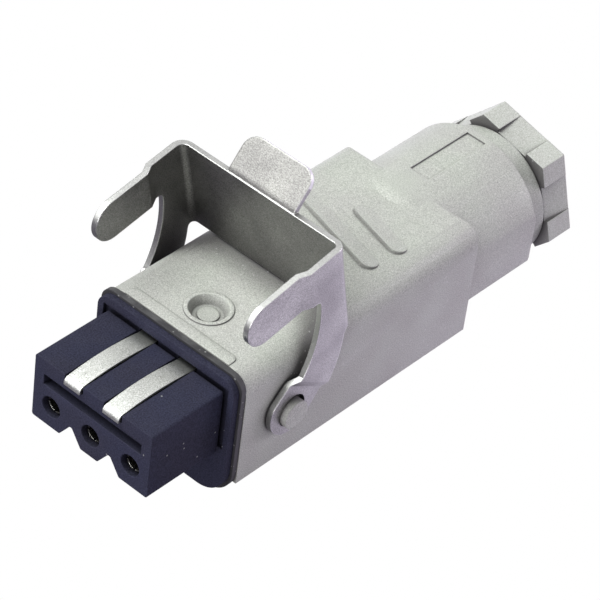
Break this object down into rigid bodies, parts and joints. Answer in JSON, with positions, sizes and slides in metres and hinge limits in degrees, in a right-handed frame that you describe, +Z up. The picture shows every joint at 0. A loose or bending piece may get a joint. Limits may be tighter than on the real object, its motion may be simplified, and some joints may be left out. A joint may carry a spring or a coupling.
{
  "type": "power cable connector",
  "caption": "Rectangular cable socket with a contact nose, a stamped locking clip that swings over the mate, and a hexagon cable gland nut.",
  "frame": {"origin": "middle of the bounding box at its lowest level, a corner of the gland nut", "axes": "+X across the width to the right as seen from the mating face, +Y from the mating face to the cable gland, +Z up through the locking clip"},
  "size_m": [0.0318, 0.0924, 0.046],
  "materials": {
    "housing_grey": "fine moulded texture",
    "insert_black": "semi-matt moulding",
    "seal_rubber": "matt",
    "washer_white": "smooth",
    "clip_steel": "stamped stainless sheet",
    "spring_nickel": "bright nickel plate",
    "contact_metal": "tin plated",
    "screw_steel": "zinc plated"
  },
  "bodies": {
    "plug_body": {"housing": "housing_grey", "gland_nut": "housing_grey", "contact_insert": "insert_black", "contact_retainer": "insert_black", "flange_gasket": "seal_rubber", "sealing_grommet": "seal_rubber", "thrust_washer": "washer_white", "earth_spring": "spring_nickel", "socket_contact_left": "contact_metal", "socket_contact_middle": "contact_metal", "socket_contact_right": "contact_metal", "earth_terminal": "contact_metal", "terminal_screw_left": "screw_steel", "terminal_screw_middle": "screw_steel", "terminal_screw_right": "screw_steel", "earth_screw": "screw_steel", "pressure_plate_left": "screw_steel", "pressure_plate_middle": "screw_steel", "pressure_plate_right": "screw_steel"},
    "clip_body": {"locking_clip": "clip_steel"}
  },
  "joints": [
    {"name": "clip_hinge", "type": "hinge", "parent": "plug_body", "child": "clip_body", "pos_m": [0, -0.02088, 0.01367], "axis": [1, 0, 0], "range_deg": [-2, 78]}
  ]
}
